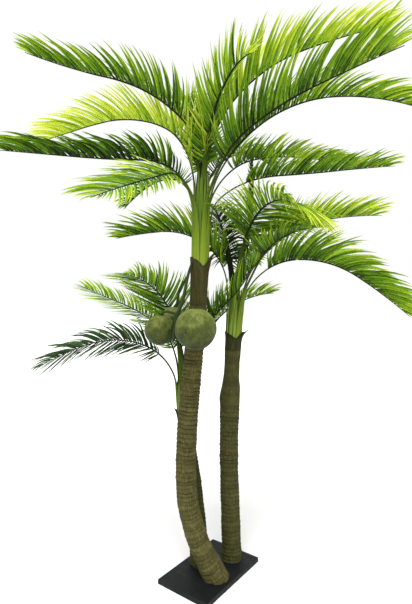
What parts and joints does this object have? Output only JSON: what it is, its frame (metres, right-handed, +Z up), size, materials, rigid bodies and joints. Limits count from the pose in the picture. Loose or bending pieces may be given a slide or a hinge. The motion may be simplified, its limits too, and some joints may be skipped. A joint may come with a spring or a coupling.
{
  "type": "artificial coconut palm tree",
  "caption": "Artificial coconut palm: ringed stems of different heights on a flat black base plate, arching feather fronds and green coconuts under the tallest crown.",
  "frame": {"origin": "centre of the base plate's flat underside, at floor level", "axes": "+X along the base plate's long side, +Y along its short side, +Z up through the crowns"},
  "size_m": [1.6192, 1.7482, 2.3886],
  "materials": {
    "board": "matt black painted board",
    "bark": "moulded ringed bark, matt",
    "boot": "moulded leaf-base collar, matt",
    "crownshaft": "moulded sheathing leaf bases, satin",
    "petiole": "coated leaf stalk, satin",
    "frond": "printed cloth leaflets, satin",
    "coconut": "moulded green husk, satin",
    "fruit_stalk": "coated wire stalk, satin"
  },
  "bodies": {
    "root": {"base_board": "board", "boot_medium": "boot", "boot_short": "boot", "boot_tall": "boot", "coconut_large": "coconut", "coconut_rear": "coconut", "coconut_small": "coconut", "crownshaft_medium": "crownshaft", "crownshaft_short": "crownshaft", "crownshaft_tall": "crownshaft", "frond_medium_droop_right": "frond", "frond_medium_front_low": "frond", "frond_medium_front_up": "frond", "frond_medium_left": "frond", "frond_medium_pale_right": "frond", "frond_medium_rear_right": "frond", "frond_medium_rear_steep": "frond", "frond_medium_spear": "frond", "frond_short_left": "frond", "frond_short_pale_left": "frond", "frond_short_rear": "frond", "frond_short_rear_left": "frond", "frond_short_rear_right": "frond", "frond_short_right": "frond", "frond_short_upper_left": "frond", "frond_tall_front": "frond", "frond_tall_front_left": "frond", "frond_tall_front_right": "frond", "frond_tall_long_right": "frond", "frond_tall_low_left": "frond", "frond_tall_mid_right": "frond", "frond_tall_pale_left": "frond", "frond_tall_rear_far": "frond", "frond_tall_rear_left": "frond", "frond_tall_rear_low": "frond", "frond_tall_rear_right": "frond", "frond_tall_top_right": "frond", "frond_tall_upper_left": "frond", "fruit_stalk": "fruit_stalk", "fruit_stalk_rear": "fruit_stalk", "petiole_medium_droop_right": "petiole", "petiole_medium_front_low": "petiole", "petiole_medium_front_up": "petiole", "petiole_medium_left": "petiole", "petiole_medium_rear_right": "petiole", "petiole_short_left": "petiole", "petiole_short_rear": "petiole", "petiole_short_rear_left": "petiole", "petiole_tall_front": "petiole", "petiole_tall_front_left": "petiole", "petiole_tall_long_right": "petiole", "petiole_tall_low_left": "petiole", "petiole_tall_pale_left": "petiole", "petiole_tall_rear_far": "petiole", "petiole_tall_rear_low": "petiole", "trunk_medium": "bark", "trunk_short": "bark", "trunk_tall": "bark"}
  },
  "joints": []
}
